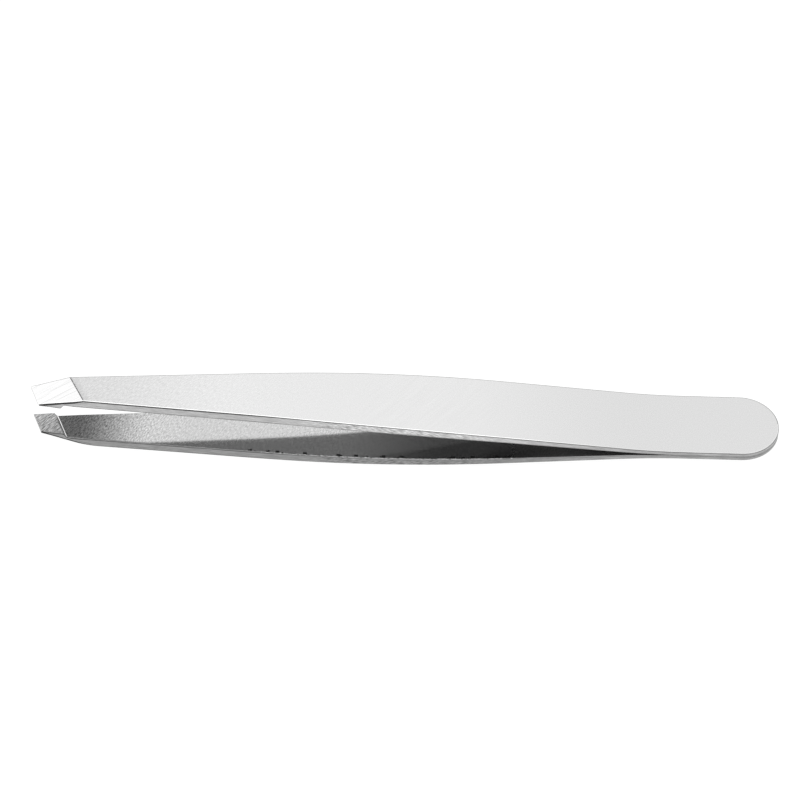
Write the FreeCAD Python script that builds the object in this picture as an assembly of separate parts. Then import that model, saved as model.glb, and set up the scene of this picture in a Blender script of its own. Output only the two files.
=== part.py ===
"""Slant tweezers: two mirror-image spring-steel arms, spot-welded together at the tail.

Frame: origin at the centre of the bounding box. +X runs along the tweezers, from the tips to the
tail. +Y runs across the arms, towards the side on which the slanted tips reach furthest forward.
+Z is the direction in which the upper arm opens. The arms mirror each other about the plane Z = 0.

Each arm is one strip of steel. It is modelled as two solids, the tail and the blade, which meet at
the flexure, where a hinge stands for the elastic bending of the strip.
"""
import FreeCAD, Part
import math
import os
from FreeCAD import Vector

# ---- Driving dimensions, in millimetres and degrees ----
# A "distance" is measured back from the longest corner of the tip, and a height from the mid-plane.

LENGTH = 95.0
WIDTH = 9.8                   # across the parallel rear part, and the diameter of the round tail
TAIL_THICKNESS = 0.61         # one arm, where the two are welded together
OUTER_EDGE_RADIUS = 0.15      # broken outer edges

# Plan of an arm: parallel sides, then a long taper to the slanted tip
TAPER_DISTANCE = 46.0         # where the taper would meet the parallel sides
TAPER_BLEND_RADIUS = 380.0
RELIEF_DISTANCE = 6.0         # where the tip's own, steeper taper begins
RELIEF_HALF_WIDTH = 2.08
RELIEF_BLEND_RADIUS = 6.0
TIP_HALF_WIDTH = 1.53
TIP_SLANT = 22.7              # of the tip edge, from straight across

# Side view of the outer face: flat tail, straight divergence, nearly flat front
OUTER_BEND_DISTANCE = 79.1
OUTER_BEND_RADIUS = 80.0
OUTER_SLOPE = 0.0955
OUTER_CREST_DISTANCE = 44.0
OUTER_CREST_RADIUS = 380.0
OUTER_FRONT_SLOPE = 0.006

# Side view of the inner face, which starts in the mid-plane
INNER_BEND_DISTANCE = 78.6
INNER_BEND_RADIUS = 135.0
INNER_SLOPE = 0.0797
INNER_CREST_DISTANCE = 45.2
INNER_CREST_RADIUS = 480.0
INNER_FRONT_SLOPE = 0.0065

# Bevel ground on the outer face of the tip
BEVEL_DISTANCE = 6.0          # its rear boundary, on the centre line
BEVEL_SLOPE = 0.274
BEVEL_SLANT = 27.5            # of its rear boundary, from straight across

# Gripping pad on the inner face of the tip, proud of the face behind it
PAD_LENGTH = 3.35             # to its heel, on the centre line
PAD_HEEL_SLOPE = 1.5          # of the short ramp behind the heel
PAD_STOCK = 0.8               # metal left on the pad before it is ground flat

# Flexure: the line that each blade is hinged on, in the thin length that does the bending
FLEXURE_FROM_TAIL = 25.0
CLOSING_ANGLE = 2.0           # of each blade, from rest until the pads lie flat on each other
PAD_CLEARANCE = 0.01          # from each closed pad to the mid-plane

# Spot welds: discs of fused metal inside the welded tails
NUGGET_DIAMETER = 3.0
NUGGET_DEPTH = 0.25           # into each arm
NUGGETS_FROM_TAIL = (4.5, 10.5)

# ---- Places that follow from them ----

TIP_X = -LENGTH / 2
TAIL_X = LENGTH / 2
HALF_WIDTH = WIDTH / 2
TAIL_CENTRE_X = TAIL_X - HALF_WIDTH
FLEXURE_X = TAIL_X - FLEXURE_FROM_TAIL
FLEXURE_HEIGHT = (TIP_X + INNER_BEND_DISTANCE - FLEXURE_X) * INNER_SLOPE
TIP_SET_BACK = 2 * TIP_HALF_WIDTH * math.tan(math.radians(TIP_SLANT))
OUTER_CREST_HEIGHT = TAIL_THICKNESS + (OUTER_BEND_DISTANCE - OUTER_CREST_DISTANCE) * OUTER_SLOPE
INNER_CREST_HEIGHT = (INNER_BEND_DISTANCE - INNER_CREST_DISTANCE) * INNER_SLOPE
MARGIN = 5.0                  # by which blanks and cutting tools run past the steel


# ---- Outlines ----

def corner_arc(before, corner, after, radius):
    """First, middle and last points of the arc that rounds the corner of two straight runs."""
    inward = (before - corner).normalize()
    onward = (after - corner).normalize()
    half_angle = inward.getAngle(onward) / 2
    tangent = radius / math.tan(half_angle)
    bisector = (inward + onward).normalize()
    centre = corner + bisector * (radius / math.sin(half_angle))
    return corner + inward * tangent, centre - bisector * radius, corner + onward * tangent


def rounded_path(corners):
    """Edges along (point, radius) corners: straight runs joined by tangent arcs."""
    edges = []
    start = corners[0][0]
    for index in range(1, len(corners) - 1):
        corner, radius = corners[index]
        first, middle, last = corner_arc(corners[index - 1][0], corner, corners[index + 1][0], radius)
        edges.append(Part.LineSegment(start, first).toShape())
        edges.append(Part.Arc(first, middle, last).toShape())
        start = last
    edges.append(Part.LineSegment(start, corners[-1][0]).toShape())
    return edges


def face_between(path_a, path_b, *closing_edges):
    """The flat face bounded by two paths and the edges that close their ends."""
    edges = Part.sortEdges(path_a + path_b + list(closing_edges))[0]
    return Part.Face(Part.Wire(edges))


def start_of(path):
    return path[0].firstVertex(True).Point


def end_of(path):
    return path[-1].lastVertex(True).Point


def outer_front_height(distance):
    """Height of the nearly flat front of the outer face."""
    return OUTER_CREST_HEIGHT + (OUTER_CREST_DISTANCE - distance) * OUTER_FRONT_SLOPE


def inner_front_height(distance):
    """Height of the nearly flat front of the inner face."""
    return INNER_CREST_HEIGHT + (INNER_CREST_DISTANCE - distance) * INNER_FRONT_SLOPE


def pad_height(distance):
    """Height of the open pad's flat face, which closing brings down to the mid-plane."""
    lever = FLEXURE_X - (TIP_X + distance)
    return PAD_CLEARANCE + lever * math.tan(math.radians(CLOSING_ANGLE))


# ---- The strip that an arm is made from ----

def strip_side():
    """Blank with the arm's true side view, wider than the arm."""
    outer = rounded_path([
        (Vector(TAIL_X, 0, TAIL_THICKNESS), 0),
        (Vector(TIP_X + OUTER_BEND_DISTANCE, 0, TAIL_THICKNESS), OUTER_BEND_RADIUS),
        (Vector(TIP_X + OUTER_CREST_DISTANCE, 0, OUTER_CREST_HEIGHT), OUTER_CREST_RADIUS),
        (Vector(TIP_X, 0, outer_front_height(0)), 0),
    ])
    inner = rounded_path([
        (Vector(TAIL_X, 0, 0), 0),
        (Vector(TIP_X + INNER_BEND_DISTANCE, 0, 0), INNER_BEND_RADIUS),
        (Vector(TIP_X + INNER_CREST_DISTANCE, 0, INNER_CREST_HEIGHT), INNER_CREST_RADIUS),
        (Vector(TIP_X, 0, inner_front_height(0)), 0),
    ])
    tail_end = Part.LineSegment(start_of(outer), start_of(inner)).toShape()
    tip_end = Part.LineSegment(end_of(outer), end_of(inner)).toShape()
    face = face_between(outer, inner, tail_end, tip_end)
    face.translate(Vector(0, -WIDTH, 0))
    return face.extrude(Vector(0, 2 * WIDTH, 0))


def long_side(side, tip_distance):
    """One long side of the plan, from the round tail to the tip; side is -1 or 1."""
    return rounded_path([
        (Vector(TAIL_CENTRE_X, side * HALF_WIDTH, 0), 0),
        (Vector(TIP_X + TAPER_DISTANCE, side * HALF_WIDTH, 0), TAPER_BLEND_RADIUS),
        (Vector(TIP_X + RELIEF_DISTANCE, side * RELIEF_HALF_WIDTH, 0), RELIEF_BLEND_RADIUS),
        (Vector(TIP_X + tip_distance, side * TIP_HALF_WIDTH, 0), 0),
    ])


def strip_plan():
    """Blank with the arm's true plan, taller than the arm."""
    near = long_side(-1, TIP_SET_BACK)
    far = long_side(1, 0)
    round_tail = Part.Arc(start_of(near), Vector(TAIL_X, 0, 0), start_of(far)).toShape()
    tip_edge = Part.LineSegment(end_of(near), end_of(far)).toShape()
    face = face_between(near, far, round_tail, tip_edge)
    face.translate(Vector(0, 0, -MARGIN))
    return face.extrude(Vector(0, 0, LENGTH / 4))


def outer_rim(strip):
    """Edges of the outer face along both long sides and round the tail."""
    half_way_in = Vector(0, 0, TAIL_THICKNESS / 2)
    rim = []
    for edge in strip.Edges:
        middle = edge.valueAt((edge.FirstParameter + edge.LastParameter) / 2)
        on_side = abs(middle.y) > TIP_HALF_WIDTH or middle.x > TAIL_CENTRE_X
        beside = Vector(middle.x - OUTER_EDGE_RADIUS, 0, middle.z)
        steel_below = strip.isInside(beside - half_way_in, 1e-4, False)
        steel_above = strip.isInside(beside + half_way_in, 1e-4, False)
        if on_side and steel_below and not steel_above:
            rim.append(edge)
    return rim


# ---- What is added and ground at the tip ----

def slanted_prism(points, slant):
    """A side-view outline swept across the strip, along a line slanted from straight across."""
    half_sweep = Vector(-HALF_WIDTH * math.tan(math.radians(slant)), HALF_WIDTH, 0)
    face = Part.Face(Part.makePolygon(points + points[:1]))
    face.translate(half_sweep * -1)
    return face.extrude(half_sweep * 2)


def pad_stock():
    """Extra metal under the tip, back to the heel and its ramp, cut to the arm's plan."""
    heel = Vector(TIP_X + PAD_LENGTH, 0, pad_height(PAD_LENGTH))
    ramp = Vector(1, 0, PAD_HEEL_SLOPE)
    ramp_foot = heel - ramp * (PAD_STOCK / PAD_HEEL_SLOPE)
    ramp_top = heel + ramp * (PAD_STOCK / PAD_HEEL_SLOPE)
    stock = slanted_prism([
        ramp_foot,
        ramp_top,
        Vector(TIP_X - MARGIN, 0, ramp_top.z),
        Vector(TIP_X - MARGIN, 0, ramp_foot.z),
    ], TIP_SLANT)
    return stock.common(strip_plan())


def pad_grind():
    """What would reach past the mid-plane with the blade closed, swung open with the blade."""
    grind = Part.makeBox(LENGTH, 2 * WIDTH, MARGIN)
    grind.translate(Vector(TIP_X - LENGTH / 2, -WIDTH, PAD_CLEARANCE - MARGIN))
    grind.rotate(Vector(FLEXURE_X, 0, FLEXURE_HEIGHT), Vector(0, 1, 0), CLOSING_ANGLE)
    return grind


def bevel_grind():
    """Everything above the bevel's plane at the outer face of the tip."""
    start = Vector(TIP_X + BEVEL_DISTANCE, 0, outer_front_height(BEVEL_DISTANCE))
    down_bevel = Vector(-1, 0, -BEVEL_SLOPE)
    front = start + down_bevel * (BEVEL_DISTANCE + MARGIN)
    back = start - down_bevel * MARGIN
    return slanted_prism([back, front, Vector(front.x, 0, back.z)], BEVEL_SLANT)


# ---- Pieces ----

def upper_arm():
    """The whole upper arm: the strip with broken outer edges, its pad and its ground tip."""
    strip = strip_side().common(strip_plan()).removeSplitter()
    strip = strip.makeFillet(OUTER_EDGE_RADIUS, outer_rim(strip))
    arm = strip.fuse(pad_stock())
    return arm.cut(bevel_grind()).cut(pad_grind()).removeSplitter()


def ahead_of_flexure():
    """The space in front of the flexure line, where the blades are."""
    block = Part.makeBox(LENGTH, 2 * WIDTH, LENGTH)
    block.translate(Vector(FLEXURE_X - LENGTH, -WIDTH, -LENGTH / 2))
    return block


def weld_nuggets():
    """Spot welds: discs of fused metal, centred on the joint between the tails."""
    discs = []
    for distance in NUGGETS_FROM_TAIL:
        base = Vector(TAIL_X - distance, 0, -NUGGET_DEPTH)
        discs.append(Part.makeCylinder(NUGGET_DIAMETER / 2, 2 * NUGGET_DEPTH, base))
    return Part.makeCompound(discs)


def lower(shape):
    """The lower arm's counterpart of a solid of the upper arm."""
    return shape.mirror(Vector(0, 0, 0), Vector(0, 0, 1))


def build():
    """Every node's shape, by the node's name."""
    arm = upper_arm()
    nuggets = weld_nuggets()
    blade = arm.common(ahead_of_flexure())
    tail = arm.cut(ahead_of_flexure()).cut(nuggets)
    return {
        "upper_tail": tail,
        "upper_blade": blade,
        "lower_tail": lower(tail),
        "lower_blade": lower(blade),
        "weld_nuggets": nuggets,
    }


def main():
    os.makedirs("parts", exist_ok=True)
    for name, shape in build().items():
        box = shape.optimalBoundingBox(False)
        print(name, "solids %d, valid %s" % (len(shape.Solids), shape.isValid()),
              "volume %.2f" % shape.Volume,
              "x %.2f to %.2f" % (box.XMin, box.XMax),
              "y %.2f to %.2f" % (box.YMin, box.YMax),
              "z %.2f to %.2f" % (box.ZMin, box.ZMax))
        shape.exportStep("parts/%s.step" % name)
    print("hinge line at x %.2f, height %.3f" % (FLEXURE_X, FLEXURE_HEIGHT))
    print("pads %.2f apart at the tip edge" % (2 * pad_height(TIP_SET_BACK / 2)))


main()
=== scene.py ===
"""Slant tweezers: the looks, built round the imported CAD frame.

Each steel arm is one smooth mesh, from its round tail to its slanted tip, that bends between the
tail's body and the blade's body. Lengths are in millimetres up to the moment a mesh is made.
"""

import math

import bmesh
import bpy
import numpy as np
from mathutils import Matrix, Vector, noise


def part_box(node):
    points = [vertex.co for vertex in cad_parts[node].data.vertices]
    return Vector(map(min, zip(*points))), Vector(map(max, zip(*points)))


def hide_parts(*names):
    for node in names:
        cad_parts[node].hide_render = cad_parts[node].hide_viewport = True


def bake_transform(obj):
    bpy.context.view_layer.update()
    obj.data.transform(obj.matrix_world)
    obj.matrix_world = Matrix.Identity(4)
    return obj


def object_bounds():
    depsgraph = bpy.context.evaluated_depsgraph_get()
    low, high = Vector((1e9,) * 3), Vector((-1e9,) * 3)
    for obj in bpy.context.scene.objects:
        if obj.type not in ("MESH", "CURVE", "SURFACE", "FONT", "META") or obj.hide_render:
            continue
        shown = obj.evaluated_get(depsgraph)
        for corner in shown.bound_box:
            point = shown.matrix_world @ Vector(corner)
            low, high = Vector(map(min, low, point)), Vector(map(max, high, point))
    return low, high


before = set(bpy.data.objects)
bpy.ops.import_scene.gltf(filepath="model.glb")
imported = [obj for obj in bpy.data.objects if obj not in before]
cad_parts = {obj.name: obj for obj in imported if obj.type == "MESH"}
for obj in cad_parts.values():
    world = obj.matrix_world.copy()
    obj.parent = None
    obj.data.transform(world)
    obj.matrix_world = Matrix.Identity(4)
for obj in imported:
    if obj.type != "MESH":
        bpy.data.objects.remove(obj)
CAD_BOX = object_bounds()

# ---- Sizes, in millimetres and degrees ----
# A "distance" is measured back from the longest corner of the tip, and a height from the mid-plane.

MM = 0.001
TIP_X = CAD_BOX[0].x / MM
LENGTH = (CAD_BOX[1].x - CAD_BOX[0].x) / MM
HALF_WIDTH = CAD_BOX[1].y / MM
FLOOR_HEIGHT = CAD_BOX[0].z / MM
FLEXURE_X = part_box("upper_tail")[0].x / MM
TAIL_CENTRE = LENGTH - HALF_WIDTH

TIP_SLANT = 22.7
TIP_HALF_WIDTH = 1.53
TIP_SET_BACK = 2 * TIP_HALF_WIDTH * math.tan(math.radians(TIP_SLANT))
RELIEF = (6.0, 2.08, 6.0)               # distance, half width, blend radius
TAPER = (46.0, HALF_WIDTH, 380.0)

TAIL_THICKNESS = 0.61
OUTER_BEND_DISTANCE = 79.1
OUTER_BEND_RADIUS = 80.0
OUTER_SLOPE = 0.0955
OUTER_CREST_DISTANCE = 44.0
OUTER_CREST_RADIUS = 380.0
OUTER_FRONT_SLOPE = 0.006
INNER_BEND_DISTANCE = 78.6
INNER_BEND_RADIUS = 135.0
INNER_SLOPE = 0.0797
INNER_CREST_DISTANCE = 45.2
INNER_CREST_RADIUS = 480.0
INNER_FRONT_SLOPE = 0.0065

BEVEL_DISTANCE = 6.0
BEVEL_SLOPE = 0.274
BEVEL_SLANT = 27.5
PAD_LENGTH = 3.35
PAD_HEEL_SLOPE = 1.5
PAD_CLEARANCE = 0.01
CLOSING_SLOPE = math.tan(math.radians(2.0))

OUTER_EDGE_RADIUS = 0.15
INNER_EDGE_RADIUS = 0.09
EDGE_DRAFT = 0.03                       # the inner edge stands in by this much
INNER_LINE = 0.1                        # width of the painted shade line beside it
CREASE = 0.06                           # a ground crease is rounded this far each way
WORN_CREASE = 1.5                       # and the lower bevel's rear boundary this far
FOOT_CREASE = 0.12                      # height of the hollow at the foot of the heel
BURR_STRETCH = (27.0, 63.0, 0.22)       # first and last distance, and most reach


# ---- The shape of an arm ----

def rounded(distance, corners):
    """Height on the line through (distance, height, radius) corners, with an arc at each."""
    for before, corner, after in zip(corners, corners[1:], corners[2:]):
        angle_in = math.atan2(corner[1] - before[1], corner[0] - before[0])
        angle_out = math.atan2(after[1] - corner[1], after[0] - corner[0])
        radius = corner[2]
        side = math.copysign(1, angle_out - angle_in)
        reach = radius * math.tan(abs(angle_out - angle_in) / 2)
        start = corner[0] - reach * math.cos(angle_in)
        end = corner[0] + reach * math.cos(angle_out)
        if start < distance < end:
            centre = start - side * radius * math.sin(angle_in)
            centre_height = corner[1] - reach * math.sin(angle_in) + side * radius * math.cos(angle_in)
            return centre_height - side * math.sqrt(radius ** 2 - (distance - centre) ** 2)
    return float(np.interp(distance, [c[0] for c in corners], [c[1] for c in corners]))


def from_tip_to_tail(tail_height, bend, slope, crest, front_slope):
    """An arm's outer or inner face, as corners for rounded(). Bend and crest: distance, radius."""
    crest_height = tail_height + (bend[0] - crest[0]) * slope
    return [
        (0.0, crest_height + crest[0] * front_slope, 0.0),
        (crest[0], crest_height, crest[1]),
        (bend[0], tail_height, bend[1]),
        (LENGTH, tail_height, 0.0),
    ]


OUTER_FACE = from_tip_to_tail(
    TAIL_THICKNESS,
    (OUTER_BEND_DISTANCE, OUTER_BEND_RADIUS), OUTER_SLOPE,
    (OUTER_CREST_DISTANCE, OUTER_CREST_RADIUS), OUTER_FRONT_SLOPE,
)
INNER_FACE = from_tip_to_tail(
    0.0,
    (INNER_BEND_DISTANCE, INNER_BEND_RADIUS), INNER_SLOPE,
    (INNER_CREST_DISTANCE, INNER_CREST_RADIUS), INNER_FRONT_SLOPE,
)


def half_width(distance, side):
    """Half the arm's width, on its near (-1) or far (1) side."""
    tip = TIP_SET_BACK if side < 0 else 0.0
    return rounded(distance, [(tip, TIP_HALF_WIDTH, 0.0), RELIEF, TAPER, (LENGTH, HALF_WIDTH, 0.0)])


def behind(distance, y, line_distance, slant):
    """How far behind a line slanted across the arm a place is, along the arm."""
    return distance + y * math.tan(math.radians(slant)) - line_distance


def from_crease(value, reach=CREASE):
    """Value where it is above 0, and 0 where it is below, with the corner rounded."""
    if abs(value) < reach:
        return (value + reach) ** 2 / (4 * reach)
    return max(0.0, value)


def outer_height(distance, y, crease):
    """Height of an arm's outer face, bevel included."""
    bevelled = from_crease(-behind(distance, y, BEVEL_DISTANCE, BEVEL_SLANT), crease)
    return rounded(distance, OUTER_FACE) - bevelled * (BEVEL_SLOPE + OUTER_FRONT_SLOPE)


def pad_height(distance):
    return PAD_CLEARANCE + (FLEXURE_X - TIP_X - distance) * CLOSING_SLOPE


def inner_height(distance, y):
    """Height of an arm's inner face, pad and heel included."""
    ramp = from_crease(behind(distance, y, PAD_LENGTH, TIP_SLANT)) * PAD_HEEL_SLOPE
    hollow = rounded(distance, INNER_FACE)
    return hollow - from_crease(hollow - pad_height(distance) - ramp, FOOT_CREASE)


# ---- The grid that an arm's faces are laid on ----
# A station is a line across the arm: (distance on the centre line, slant, turned). Round the tail
# end, turned goes from 0 on the last straight line to 1 on the half circle of the rim.

ACROSS = [math.sin(math.radians(angle)) for angle in np.linspace(-90, 90, 37)]
FAN_START = TAIL_CENTRE - 7.0
PAD_HOLLOW = rounded(PAD_LENGTH, INNER_FACE) - pad_height(PAD_LENGTH)
HEEL_FOOT = PAD_LENGTH + PAD_HOLLOW / PAD_HEEL_SLOPE


def slant_at(distance):
    return float(np.interp(distance, [HEEL_FOOT, BEVEL_DISTANCE, 16.0], [TIP_SLANT, BEVEL_SLANT, 0.0]))


def stations():
    """Lines across the arm, close together beside a crease."""
    tip = TIP_SET_BACK / 2
    distances = [tip, tip + 0.1]
    for start, end, step in (
        (tip + 0.1, PAD_LENGTH, 0.25),
        (PAD_LENGTH, HEEL_FOOT, 0.15),
        (HEEL_FOOT, BEVEL_DISTANCE, 0.25),
        (BEVEL_DISTANCE, FAN_START, 0.25),
    ):
        count = max(2, round((end - start) / step))
        distances += list(np.linspace(start, end, count + 1))[1:-1]
        distances += [end - CREASE, end - CREASE / 2, end, end + CREASE / 2, end + CREASE]
    straight = [(distance, slant_at(distance), 0.0) for distance in distances[:-4]]
    fan = [(FAN_START, 0.0, turned) for turned in np.linspace(0, 1, 30)]
    return straight + fan[1:]


def place(station, across, near_inset, far_inset):
    """(distance, y) on a station, this far across (-1 to 1) between its two inset sides."""
    distance, slant, turned = station
    if turned > 0:
        y = (HALF_WIDTH - near_inset) * across
        rim = TAIL_CENTRE + (HALF_WIDTH - near_inset) * math.sqrt(max(0.0, 1 - across ** 2))
        return FAN_START + (rim - FAN_START) * turned, y
    lean = math.tan(math.radians(slant))
    sides = []
    for side, inset in ((-1, near_inset), (1, far_inset)):
        y = 0.0
        for _ in range(8):
            y = side * (half_width(distance - y * lean, side) - inset)
        sides.append(y)
    y = (sides[0] + sides[1]) / 2 + across * (sides[1] - sides[0]) / 2
    return distance - y * lean, y


def edge_profile(thickness):
    """The side of the arm from its outer to its inner face, as (inset, share of the thickness)."""
    outer = min(OUTER_EDGE_RADIUS, thickness / 4)
    inner = min(INNER_EDGE_RADIUS, thickness / 8)
    above_inner = thickness - inner - min(INNER_LINE, thickness / 8)
    rows = []
    for angle in np.radians(np.linspace(0, 90, 7)):
        rows.append((outer * (1 - math.sin(angle)), outer * (1 - math.cos(angle))))
    rows.append((0.0, above_inner))
    for angle in np.radians(np.linspace(0, 90, 5)):
        inset = EDGE_DRAFT + inner * (1 - math.cos(angle))
        rows.append((inset, thickness - inner * (1 - math.sin(angle))))
    return [(inset, depth / thickness) for inset, depth in rows]


# The materials of an arm's faces: a rim is a broken edge given a painted highlight, a line is painted
# shade beside an edge, and the shadow behind the burr is painted.
OUTER, BEVEL, INNER, PAD, EDGE, RIM_HIGHLIGHT, SHADE_LINE, BURR, BURR_SHADOW = range(9)


def outer_zone(distance, y):
    return BEVEL if behind(distance, y, BEVEL_DISTANCE, BEVEL_SLANT) < 0 else OUTER


def inner_zone(distance, y):
    down_ramp = behind(distance, y, PAD_LENGTH, TIP_SLANT) / (HEEL_FOOT - PAD_LENGTH)
    if down_ramp > 1.15:
        return INNER
    # painted highlight in the hollow at the heel's foot
    return PAD if down_ramp < 0.85 else RIM_HIGHLIGHT


class Arm:
    """Collects one arm's points and faces. Turned is 1 for the upper arm and -1 for the lower."""

    def __init__(self, turned):
        self.turned = turned
        self.crease = CREASE if turned > 0 else WORN_CREASE
        self.mesh = bmesh.new()
        self.uv = self.mesh.loops.layers.uv.new("millimetres")
        self.line = stations()
        self.insets = [self.station_insets(station) for station in self.line]
        self.sides = {}

    def station_insets(self, station):
        """Insets of the outer and the inner face from the arm's near and far sides."""
        found = []
        for across in (-1, 1):
            profile = self.profile_at(station, across)
            found.append((profile[0][0], profile[-1][0]))
        return found

    def profile_at(self, station, across):
        distance, y = place(station, across, 0.0, 0.0)
        return edge_profile(self.outer_height(distance, y) - inner_height(distance, y))

    def outer_height(self, distance, y):
        return outer_height(distance, y, self.crease)

    def add_point(self, distance, y, height):
        return self.mesh.verts.new((TIP_X + distance, y, self.turned * height))

    def add_face(self, points, material, uvs):
        face = self.mesh.faces.new(points)
        face.material_index = material
        face.smooth = True
        for loop, uv in zip(face.loops, uvs):
            loop[self.uv].uv = uv
        return face

    def add_sides(self):
        """The side wall, a column of points at each place round the edge from the near tip corner."""
        last = len(self.line) - 1
        end = len(ACROSS) - 1
        ring = [(i, 0) for i in range(last)]
        ring += [(last, j) for j in range(end)]
        ring += [(i, end) for i in range(last, 0, -1)]
        ring += [(0, j) for j in range(end, 0, -1)]
        for i, j in ring:
            self.sides[i, j] = self.side_column(i, j)
        travelled = 0.0
        for here, there in zip(ring, ring[1:] + ring[:1]):
            a, b = self.sides[here], self.sides[there]
            step = (b[0].co - a[0].co).length
            depths = [(column[0].co - point.co).length for column in (a, b) for point in column]
            for k in range(len(a) - 1):
                v = depths[k]
                w = depths[k + 1]
                uvs = [(travelled, v), (travelled + step, v), (travelled + step, w), (travelled, w)]
                self.add_face([a[k], b[k], b[k + 1], a[k + 1]], self.wall_material(k, *here), uvs)
            travelled += step

    def wall_material(self, row, i, j):
        """Material of the side wall, on a row counted from the outer face."""
        # painted highlight on the upper arm's tip end
        if i == 0:
            return RIM_HIGHLIGHT if self.turned > 0 else EDGE
        # painted highlight on the near half of the outer rounding
        if row < 2 and j < len(ACROSS) / 2:
            return RIM_HIGHLIGHT
        # painted shade: the rest of the outer rounding, and the band just above the inner rounding
        if row < 5 or row == 7:
            return SHADE_LINE
        torn = j == 0 and self.burr_reach(self.line[i][0]) > 0.02
        return BURR if torn and row > 7 else EDGE

    def side_column(self, i, j):
        station = self.line[i]
        column = []
        for inset, share in self.profile_at(station, ACROSS[j]):
            shifted = station
            if i == 0:
                shifted = (station[0] + inset / math.cos(math.radians(station[1])), station[1], 0.0)
            distance, y = place(shifted, ACROSS[j], inset, inset)
            height = self.outer_height(distance, y) * (1 - share) + inner_height(distance, y) * share
            if j == 0:
                reach = self.burr_reach(station[0]) * math.exp(-((share - 0.98) / 0.03) ** 2)
                y -= reach * 0.4
                height -= reach
            column.append(self.add_point(distance, y, height))
        return column

    def burr_reach(self, distance):
        """How far the ragged burr stands out of the lower arm's near inner edge here."""
        if self.turned > 0:
            return 0.0
        start, end, most = BURR_STRETCH
        fade = float(np.interp(distance, [start, start + 10, end - 8, end], [0, 1, 1, 0]))
        coarse = noise.noise(Vector((distance * 0.5, 0.0, 2.0)))
        fine = noise.noise(Vector((distance * 2.3, 5.0, 2.0)))
        return fade * most * max(0.0, 0.35 + 0.6 * coarse + 1.1 * fine)

    def under_burr_shadow(self, distance, j):
        """Whether the burr's painted shadow falls on the inner face here, this many places in from the
        near edge.
        """
        if j > 4 or self.burr_reach(distance) == 0.0:
            return False
        return noise.noise(Vector((distance * 0.9, 9.0, 2.0))) > 0.07 * j - 0.1

    def add_sheet(self, height, zone, which, row):
        """The outer (which 0) or inner (1) face, between the rims of the side wall."""
        grid = []
        last = len(self.line) - 1
        end = len(ACROSS) - 1
        for i, station in enumerate(self.line):
            near, far = (inset[which] for inset in self.insets[i])
            points = []
            for j, across in enumerate(ACROSS):
                if (i, j) in self.sides:
                    points.append(self.sides[i, j][row])
                else:
                    distance, y = place(station, across, near, far)
                    points.append(self.add_point(distance, y, height(distance, y)))
            grid.append(points)
        for i in range(last):
            for j in range(end):
                corners = [grid[i][j], grid[i][j + 1], grid[i + 1][j + 1], grid[i + 1][j]]
                uvs = [(point.co.x - TIP_X, point.co.y) for point in corners]
                u, v = np.mean(uvs, axis=0)
                # faces in the burr's shadow get a near black material: painted shadow
                in_burr_shadow = which == 1 and self.under_burr_shadow(u, j)
                self.add_face(corners, BURR_SHADOW if in_burr_shadow else zone(u, v), uvs)

    def finish(self, name, materials):
        bmesh.ops.recalc_face_normals(self.mesh, faces=self.mesh.faces)
        data = bpy.data.meshes.new(name)
        self.mesh.to_mesh(data)
        self.mesh.free()
        data.transform(Matrix.Scale(MM, 4))
        for material in materials:
            data.materials.append(material)
        data.set_sharp_from_angle(angle=math.radians(35))
        arm = bpy.data.objects.new(name, data)
        bpy.context.scene.collection.objects.link(arm)
        return arm


def make_arm(name, turned, materials):
    arm = Arm(turned)
    arm.add_sides()
    arm.add_sheet(arm.outer_height, outer_zone, 0, 0)
    arm.add_sheet(inner_height, inner_zone, 1, -1)
    return arm.finish(name, materials)


# ---- Finishes ----

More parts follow.
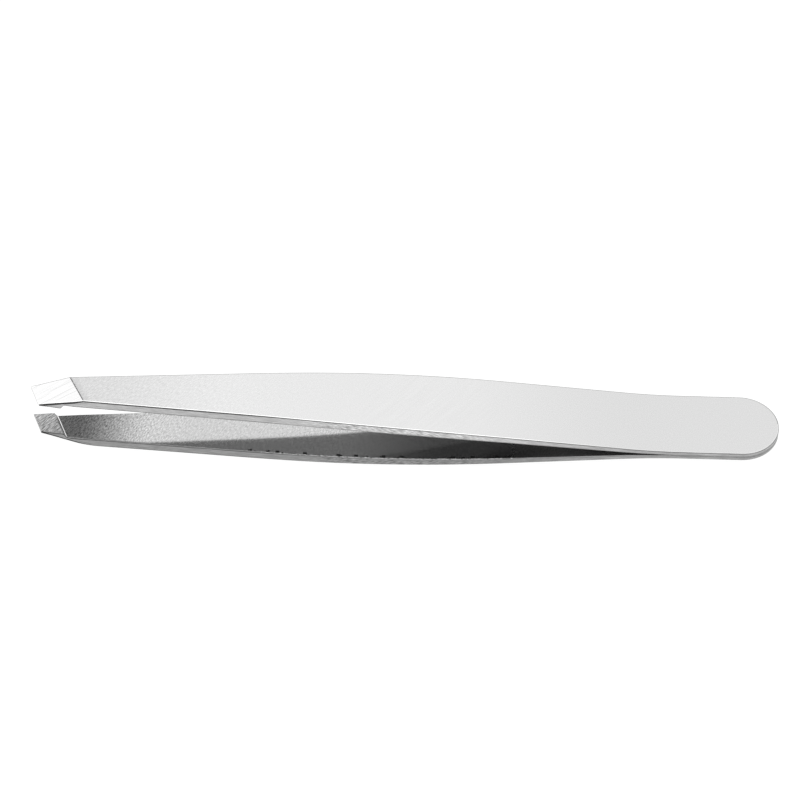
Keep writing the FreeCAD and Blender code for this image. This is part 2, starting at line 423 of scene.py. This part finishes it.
class Finish:
    """A steel material, and short calls that wire its nodes."""

    def __init__(self, name, **sockets):
        self.material = bpy.data.materials.new(name)
        self.material.use_nodes = True
        self.tree = self.material.node_tree
        self.shader = self.tree.nodes["Principled BSDF"]
        self.shader.inputs["Metallic"].default_value = 1.0
        self.place = self.add("ShaderNodeUVMap", uv_map="millimetres").outputs["UV"]
        for socket, value in sockets.items():
            self.shader.inputs[socket.replace("_", " ").title()].default_value = value

    def add(self, kind, inputs=(), **settings):
        node = self.tree.nodes.new(kind)
        for name, value in settings.items():
            setattr(node, name, value)
        for socket, value in dict(inputs).items():
            if isinstance(value, bpy.types.NodeSocket):
                self.tree.links.new(value, node.inputs[socket])
            else:
                node.inputs[socket].default_value = value
        return node

    def grain(self, length, width, turn=0.0, detail=3.0, seed=0.0):
        """Noise from about 0 to 1, in streaks this long and wide, turned from the arm's length."""
        turned = self.add("ShaderNodeMapping", {
            "Vector": self.place, "Rotation": (0, 0, math.radians(-turn)),
        })
        scaled = self.add("ShaderNodeMapping", {
            "Vector": turned.outputs["Vector"],
            "Location": (seed, seed, seed),
            "Scale": (1 / length, 1 / width, 1),
        })
        noisy = self.add("ShaderNodeTexNoise", {
            "Vector": scaled.outputs["Vector"], "Scale": 1.0, "Detail": detail, "Roughness": 0.6,
        })
        return noisy.outputs["Fac"]

    def along(self, axis=0):
        """Millimetres along the arm (0) or across it (1)."""
        return self.add("ShaderNodeSeparateXYZ", {"Vector": self.place}).outputs[axis]

    def behind(self, line_distance, slant):
        """Millimetres behind a line slanted across the arm."""
        leaning = self.math("MULTIPLY", self.along(1), math.tan(math.radians(slant)))
        return self.math("SUBTRACT", self.math("ADD", self.along(), leaning), line_distance)

    def between(self, start, full, fading, end):
        """1 from full to fading along the arm, falling to 0 at start and at end."""
        rising = self.spread(self.along(), start, full, 0, 1, smooth=True)
        return self.times(rising, self.spread(self.along(), fading, end, 1, 0, smooth=True))

    def around_one(self, value, swing):
        """Value's usual range, as a factor that swings this much on both sides of 1."""
        return self.math("ADD", self.math("MULTIPLY", self.spread(value, 0.3, 0.7, -1, 1), swing), 1.0)

    def math(self, operation, first, second=0.0, third=0.0):
        node = self.add("ShaderNodeMath", {0: first, 1: second, 2: third}, operation=operation)
        return node.outputs["Value"]

    def spread(self, value, low, high, to_low, to_high, smooth=False):
        """Value's range low to high, as to_low to to_high, and held there beyond it."""
        node = self.add("ShaderNodeMapRange", {
            "Value": value, "From Min": low, "From Max": high, "To Min": to_low, "To Max": to_high,
        })
        node.interpolation_type = "SMOOTHSTEP" if smooth else "LINEAR"
        return node.outputs["Result"]

    def times(self, *values):
        product = values[0]
        for value in values[1:]:
            product = self.math("MULTIPLY", product, value)
        return product

    def grey(self, brightness):
        """The base colour, a steel grey this bright."""
        node = self.add("ShaderNodeCombineColor", {
            "Red": brightness, "Green": brightness, "Blue": brightness,
        })
        self.tree.links.new(node.outputs["Color"], self.shader.inputs["Base Color"])

    def roughness(self, value):
        self.tree.links.new(value, self.shader.inputs["Roughness"])

    def relief(self, height, depth):
        """Bumps from height's 0 to 1, this deep in millimetres."""
        bump = self.add("ShaderNodeBump", {"Height": height, "Distance": depth * MM, "Strength": 1.0})
        self.tree.links.new(bump.outputs["Normal"], self.shader.inputs["Normal"])


def outer_steel():
    """Satin polish: even at the tail, finely mottled towards the tip, with painted shade along the
    bevel's rear crease.
    """
    steel = Finish("outer_satin_steel_painted_crease_shade")
    from_tip = steel.along()
    strokes = steel.grain(0.5, 0.17, turn=40, detail=4)
    ripples = steel.grain(6.0, 0.35, turn=50, detail=1, seed=4)
    swing = steel.spread(from_tip, 5, 45, 0.16, 0.01, smooth=True)
    front = steel.spread(from_tip, 5, 27, 0.46, 0.54, smooth=True)
    rear = steel.spread(from_tip, 50, 78, 1.0, 0.9, smooth=True)
    # painted shade: a ragged dark line along the bevel's rear crease, and a lighter shade that fades
    # over about a millimetre behind it
    ragged = steel.math("MULTIPLY_ADD", strokes, 0.3, steel.behind(BEVEL_DISTANCE + 0.1, BEVEL_SLANT))
    boundary = steel.spread(ragged, 0.12, 0.26, 0.2, 1)
    shade_behind_crease = steel.spread(ragged, 0.1, 1.2, 0.85, 1)
    wave = steel.around_one(ripples, steel.times(steel.between(38, 46, 54, 62), 0.018))
    steel.grey(steel.times(front, rear, boundary, shade_behind_crease, wave, steel.around_one(strokes, swing)))
    steel.roughness(steel.spread(strokes, 0.3, 0.7, 0.25, 0.28))
    return steel.material


def bevel_steel():
    """Bright, freshly ground face with a few fine parallel wheel marks."""
    steel = Finish("bevel_ground_steel")
    marks = steel.grain(9.0, 0.16, turn=22, detail=1)
    steel.grey(steel.spread(marks, 0.35, 0.42, 0.34, 0.45))
    steel.roughness(steel.spread(marks, 0.3, 0.7, 0.2, 0.34))
    return steel.material


def pad_steel():
    """The gripping face, hatched by a coarse grindstone at about 50 degrees."""
    steel = Finish("pad_hatched_steel")
    marks = steel.grain(0.9, 0.14, turn=50, detail=4)
    steel.grey(steel.spread(marks, 0.32, 0.68, 0.0, 0.5))
    steel.roughness(steel.spread(marks, 0.3, 0.7, 0.3, 0.45))
    steel.relief(marks, 0.006)
    return steel.material


def inner_steel(name, tone):
    """Inner face: mottled by a slanting grain, with painted shade just behind the pad and in the wedge
    toward the tail.
    """
    steel = Finish(name)
    streaks = steel.grain(0.4, 0.16, turn=62, detail=4)
    specks = steel.grain(0.25, 0.25, detail=3, seed=7)
    from_tip = steel.along()
    # painted shade: dark just behind the pad, growing lighter by 16 mm from the tip
    level = steel.spread(from_tip, 5.5, 16, 0.075 * tone, 0.415 * tone, smooth=True)
    # painted shade: a third darker from 38 to 54 mm, where the arms close into a narrow wedge
    painted_wedge_shade = steel.spread(from_tip, 38, 54, 1.0, 0.65, smooth=True)
    swing = steel.spread(from_tip, 6, 20, 0.9, 0.3)
    spots = steel.spread(specks, 0.26, 0.36, 0.6, 1)
    steel.grey(steel.times(level, painted_wedge_shade, steel.around_one(streaks, swing), spots))
    duller = steel.spread(from_tip, 56, 68, 0.0, 0.4)
    steel.roughness(steel.math("ADD", steel.spread(streaks, 0.3, 0.7, 0.07, 0.11), duller))
    return steel.material


def edge_steel(name, tone, middle_tone, tail_tone):
    """The blanked side of the sheet: streaked along it, torn in rough chips near the middle, and with
    a painted shade line next to the outer face.
    """
    steel = Finish(name)
    from_tip = steel.along()
    streaks = steel.grain(2.4, 0.14, detail=4)
    chips = steel.grain(0.8, 0.2, turn=12, detail=4, seed=3)
    torn = steel.math("MULTIPLY_ADD", steel.between(32, 39, 50, 62), 0.45, 0.15)
    level = steel.times(
        steel.spread(from_tip, 24, 44, tone, middle_tone, smooth=True),
        steel.spread(from_tip, 55, 76, 1, tail_tone / middle_tone, smooth=True),
    )
    # painted shade: a dark line along the wall next to the outer face, widest beside the bevel and in
    # front
    beside_bevel = steel.spread(from_tip, 4.8, 6.0, 0.1, 0.0)
    line_depth = steel.math("ADD", beside_bevel, steel.spread(from_tip, 26, 40, 0.24, 0.1))
    below_line = steel.math("SUBTRACT", steel.along(1), line_depth)
    painted_shade_line = steel.spread(below_line, -0.03, 0.03, 0.12, 1.0)
    steel.grey(steel.times(
        level, painted_shade_line, steel.around_one(streaks, 0.25), steel.around_one(chips, torn),
    ))
    steel.roughness(steel.spread(chips, 0.3, 0.7, 0.32, 0.48))
    steel.relief(streaks, 0.01)
    return steel.material


def rim_highlight_steel():
    """A broken edge, polished smooth, with a painted highlight: its grey is made bright, most of all
    in front.
    """
    steel = Finish("rim_polished_steel_painted_highlight")
    highlight_fade = steel.spread(steel.along(), 55, 75, 1, 0.6, smooth=True)
    steel.grey(steel.times(highlight_fade, steel.spread(steel.grain(2.0, 0.5), 0.3, 0.5, 0.84, 0.97)))
    steel.roughness(steel.spread(steel.grain(1.0, 0.3), 0.3, 0.7, 0.2, 0.35))
    return steel.material


def shade_line_steel():
    """Painted shade: a dark line along an edge, nearly black beside the bevel."""
    steel = Finish("line_painted_shade_steel")
    from_tip = steel.along()
    streaks = steel.grain(1.5, 0.2, detail=3)
    level = steel.times(
        steel.spread(from_tip, 5.0, 7.0, 0.04, 0.1),
        steel.spread(from_tip, 30, 45, 1, 2.4),
    )
    steel.grey(steel.times(level, steel.around_one(streaks, 0.3)))
    steel.roughness(steel.spread(streaks, 0.3, 0.7, 0.35, 0.5))
    return steel.material


def burr_steel():
    """Torn, bright metal along a blanked edge."""
    steel = Finish("burr_torn_steel")
    chips = steel.grain(0.3, 0.12, turn=30, detail=3, seed=5)
    steel.grey(steel.spread(chips, 0.3, 0.6, 0.2, 0.55))
    steel.roughness(steel.spread(chips, 0.3, 0.7, 0.4, 0.6))
    steel.relief(chips, 0.02)
    return steel.material


def burr_shadow_steel():
    """Painted shadow: near black, where the burr shades the inner face."""
    steel = Finish("burr_painted_shadow_steel", roughness=0.6)
    steel.grey(steel.spread(steel.grain(0.5, 0.2), 0.3, 0.7, 0.01, 0.05))
    return steel.material


def weld_steel():
    """Spot weld between the tails: a dull, slightly heat-tinted disc."""
    steel = Finish("weld_nugget_steel")
    metres = steel.add("ShaderNodeTexCoord").outputs["Object"]
    scale = steel.add("ShaderNodeVectorMath", {0: metres, "Scale": 1 / MM}, operation="SCALE")
    steel.place = scale.outputs[0]
    steel.grey(steel.spread(steel.grain(0.6, 0.6), 0.3, 0.7, 0.25, 0.4))
    steel.roughness(steel.spread(steel.grain(0.3, 0.3, seed=2), 0.3, 0.7, 0.4, 0.6))
    return steel.material


# ---- Pieces ----

def blend_over_flexure(arm):
    """Bakes the arm's object transform into its mesh."""
    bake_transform(arm)


def make_arms():
    outer, bevel, pad, rim, line = outer_steel(), bevel_steel(), pad_steel(), rim_highlight_steel(), shade_line_steel()
    # painted shade: the upper arm's inner face, which faces down, is painted darker than the lower
    # arm's
    inner = inner_steel("upper_inner_grained_steel_painted_shade", 0.68)
    # painted light: the upper arm's side is painted a lighter grey than the lower arm's
    edge = edge_steel("upper_edge_blanked_steel_painted_light", 0.46, 0.55, 0.4)
    upper = make_arm("upper_arm", 1, [outer, bevel, inner, pad, edge, rim, line])
    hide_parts("upper_tail", "upper_blade")
    blend_over_flexure(upper)
    inner = inner_steel("lower_inner_grained_steel_painted_shade", 1.0)
    # painted shade: the lower arm's side is painted darker than the upper arm's
    edge = edge_steel("lower_edge_blanked_steel_painted_shade", 0.3, 0.25, 0.34)
    # the burr, and the painted shadow behind it
    torn = [burr_steel(), burr_shadow_steel()]
    lower = make_arm("lower_arm", -1, [outer, bevel, inner, pad, edge, rim, line, *torn])
    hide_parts("lower_tail", "lower_blade")
    blend_over_flexure(lower)


def paint_welds():
    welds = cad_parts["weld_nuggets"]
    welds.data.materials.clear()
    welds.data.materials.append(weld_steel())


# ---- Studio ----

TENT_BRIGHTNESS = 1.15
TENT_PATCHES = (                        # direction, angles from it: full and end, change in light
    ((0.0, 0.75, 0.66), 35, 70, 0.39),
    ((0.0, 0.0, 1.0), 12, 40, 0.1),
    ((-0.6, 0.58, 0.55), 14, 30, 0.9),
    ((0.0, -0.68, 0.73), 24, 44, -0.35),
    ((0.0, 1.0, 0.15), 15, 36, -0.45),
)


def make_camera():
    """A long lens, looking down on the near edges from the middle of the arms' length."""
    azimuth, elevation, roll = (math.radians(angle) for angle in (1.02, 47.3, 0.77))
    distance = 405.6 * MM
    aim = Vector((-0.6, 1.8, 1.7)) * MM
    back = Vector((
        math.sin(azimuth) * math.cos(elevation),
        -math.cos(azimuth) * math.cos(elevation),
        math.sin(elevation),
    ))
    right = Vector((math.cos(azimuth), math.sin(azimuth), 0))
    up = back.cross(right)
    turned_right = right * math.cos(roll) + up * math.sin(roll)
    turned_up = up * math.cos(roll) - right * math.sin(roll)
    data = bpy.data.cameras.new("camera")
    data.sensor_width = 36.0
    data.lens = 143.7
    data.clip_start = 0.01
    data.clip_end = 20.0
    camera = bpy.data.objects.new("camera", data)
    turn = Matrix((turned_right, turned_up, back)).transposed().to_4x4()
    camera.matrix_world = Matrix.Translation(aim + back * distance) @ turn
    bpy.context.scene.collection.objects.link(camera)
    bpy.context.scene.camera = camera


def make_floor():
    half = 1.5
    data = bpy.data.meshes.new("floor")
    corners = [(-half, -half, 0), (half, -half, 0), (half, half, 0), (-half, half, 0)]
    data.from_pydata(corners, [], [(0, 1, 2, 3)])
    material = bpy.data.materials.new("white_paper")
    material.use_nodes = True
    shader = material.node_tree.nodes["Principled BSDF"]
    shader.inputs["Base Color"].default_value = (0.12, 0.12, 0.12, 1)
    shader.inputs["Roughness"].default_value = 0.9
    shader.inputs["Specular IOR Level"].default_value = 0.0
    shader.inputs["Emission Color"].default_value = (1, 1, 1, 1)
    shader.inputs["Emission Strength"].default_value = 0.94
    data.materials.append(material)
    floor = bpy.data.objects.new("floor", data)
    floor.location.z = FLOOR_HEIGHT * MM
    bpy.context.scene.collection.objects.link(floor)


def make_light_tent():
    """Soft white light from all round, uneven by the patches above."""
    world = bpy.data.worlds.new("light_tent")
    world.use_nodes = True
    bpy.context.scene.world = world
    tree = world.node_tree
    toward = tree.nodes.new("ShaderNodeTexCoord").outputs["Generated"]
    total = None
    for direction, full, end, change in TENT_PATCHES:
        dot = tree.nodes.new("ShaderNodeVectorMath")
        dot.operation = "DOT_PRODUCT"
        tree.links.new(toward, dot.inputs[0])
        dot.inputs[1].default_value = Vector(direction).normalized()
        patch = tree.nodes.new("ShaderNodeMapRange")
        patch.interpolation_type = "SMOOTHSTEP"
        tree.links.new(dot.outputs["Value"], patch.inputs["Value"])
        patch.inputs["From Min"].default_value = math.cos(math.radians(end))
        patch.inputs["From Max"].default_value = math.cos(math.radians(full))
        patch.inputs["To Max"].default_value = change
        add = tree.nodes.new("ShaderNodeMath")
        tree.links.new(patch.outputs["Result"], add.inputs[0])
        add.inputs[1].default_value = TENT_BRIGHTNESS
        if total is not None:
            tree.links.new(total, add.inputs[1])
        total = add.outputs["Value"]
    tree.links.new(total, tree.nodes["Background"].inputs["Strength"])
    tree.nodes["Background"].inputs["Color"].default_value = (1, 1, 1, 1)


make_arms()
paint_welds()
make_camera()
make_floor()
make_light_tent()
bpy.context.scene.view_settings.view_transform = "Standard"
bpy.context.scene.cycles.glossy_bounces = 16    # the wedge between the arms reflects itself
bpy.context.scene.cycles.max_bounces = 16
